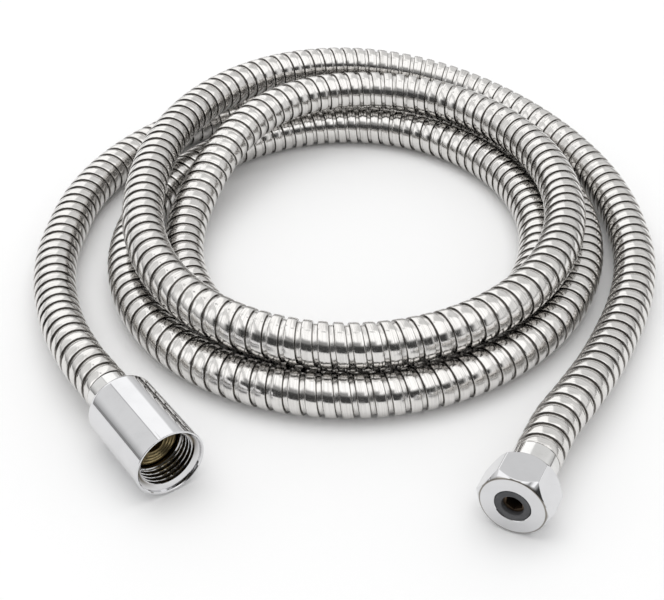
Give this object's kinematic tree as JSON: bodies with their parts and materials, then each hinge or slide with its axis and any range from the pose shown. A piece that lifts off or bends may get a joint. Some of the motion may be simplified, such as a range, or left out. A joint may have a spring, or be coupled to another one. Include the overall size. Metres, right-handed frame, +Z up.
{
  "type": "flexible spray hose",
  "caption": "Coiled strip-wound metal spray hose with a round threaded swivel nut on the handset end and a hexagon swivel nut with a flush rubber washer on the wall end.",
  "frame": {"origin": "middle of the bounding box, on the surface that the coil rests on", "axes": "+Z up; -Y is the side that both nuts point to; +X is the wall end's side"},
  "size_m": [0.2394, 0.28, 0.0323],
  "materials": {
    "sheath": "polished strip-wound stainless steel, crossed by fine brushing",
    "liner": "smooth dull rubber",
    "ferrule": "polished stainless steel",
    "brass": "turned, unplated",
    "slip_ring": "natural acetal",
    "round_nut": "mirror chrome over brass",
    "hex_nut": "mirror chrome over brass",
    "washer": "dark grey rubber"
  },
  "bodies": {
    "hose": {"sheath_handset_lead": "sheath", "sheath_coil": "sheath", "sheath_wall_lead": "sheath", "liner": "liner", "handset_ferrule": "ferrule", "handset_tail": "brass", "wall_ferrule": "ferrule", "wall_tail": "brass", "wall_washer": "washer"},
    "handset_ring": {"handset_slip_ring": "slip_ring"},
    "handset_nut": {"handset_nut": "round_nut"},
    "wall_ring": {"wall_slip_ring": "slip_ring"},
    "wall_nut": {"wall_nut": "hex_nut"}
  },
  "joints": [
    {"name": "handset_nut_slide", "type": "slide", "parent": "hose", "child": "handset_ring", "axis": [-0.5736, 0.8192, 0], "range_m": [0, 0.004]},
    {"name": "handset_nut_swivel", "type": "hinge", "parent": "handset_ring", "child": "handset_nut", "pos_m": [-0.05962, -0.11286, 0.0124], "axis": [0.5736, -0.8192, 0], "continuous": true},
    {"name": "wall_nut_slide", "type": "slide", "parent": "hose", "child": "wall_ring", "axis": [-0.4384, -0.8988, 0], "range_m": [0, 0.004]},
    {"name": "wall_nut_swivel", "type": "hinge", "parent": "wall_ring", "child": "wall_nut", "pos_m": [0.05164, -0.12985, 0.0113], "axis": [-0.4384, -0.8988, 0], "continuous": true}
  ]
}
